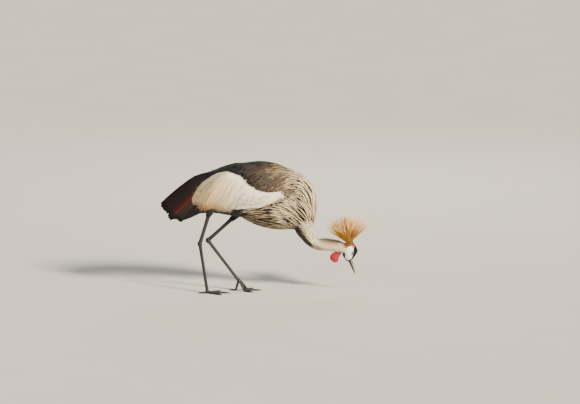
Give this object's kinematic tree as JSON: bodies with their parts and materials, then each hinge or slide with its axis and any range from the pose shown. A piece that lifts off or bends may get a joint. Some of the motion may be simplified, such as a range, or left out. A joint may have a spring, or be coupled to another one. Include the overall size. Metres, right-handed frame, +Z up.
{
  "type": "grey crowned crane",
  "caption": "Life-size grey crowned crane in a feeding pose, standing on two legs, its head lowered, with a crest of stiff straw-coloured feathers",
  "frame": {"origin": "on the floor, under the middle of the bird's box, between the feet and the breast", "axes": "+Z up, +X the way the bird faces and its longest extent, +Y its left; the soles rest on Z = 0"},
  "size_m": [0.8678, 0.2147, 0.53],
  "materials": {
    "back_plumage": "matte",
    "wing_plumage": "matte",
    "tail_quills": "matte",
    "hackles": "matte",
    "face": "matte",
    "crest_bristles": "matte",
    "wattle_skin": "satin",
    "bill_horn": "satin",
    "eye": "gloss",
    "thigh_plumage": "matte",
    "leg_scales": "satin",
    "claw_horn": "satin"
  },
  "bodies": {
    "root": {"torso": "back_plumage", "wing_right": "wing_plumage", "wing_left": "wing_plumage", "tail": "tail_quills", "neck_base": "hackles", "neck_upper": "hackles", "head": "face", "crest": "crest_bristles", "wattle": "wattle_skin", "bill_upper": "bill_horn", "bill_lower": "bill_horn", "eye_right": "eye", "eye_left": "eye", "thigh_right": "thigh_plumage", "thigh_left": "thigh_plumage", "shin_right": "leg_scales", "shin_left": "leg_scales", "tarsus_right": "leg_scales", "tarsus_left": "leg_scales", "foot_right": "leg_scales", "foot_left": "leg_scales", "claw_right_middle": "claw_horn", "claw_right_inner": "claw_horn", "claw_right_outer": "claw_horn", "claw_right_hallux": "claw_horn", "claw_left_middle": "claw_horn", "claw_left_inner": "claw_horn", "claw_left_outer": "claw_horn", "claw_left_hallux": "claw_horn"}
  },
  "joints": []
}
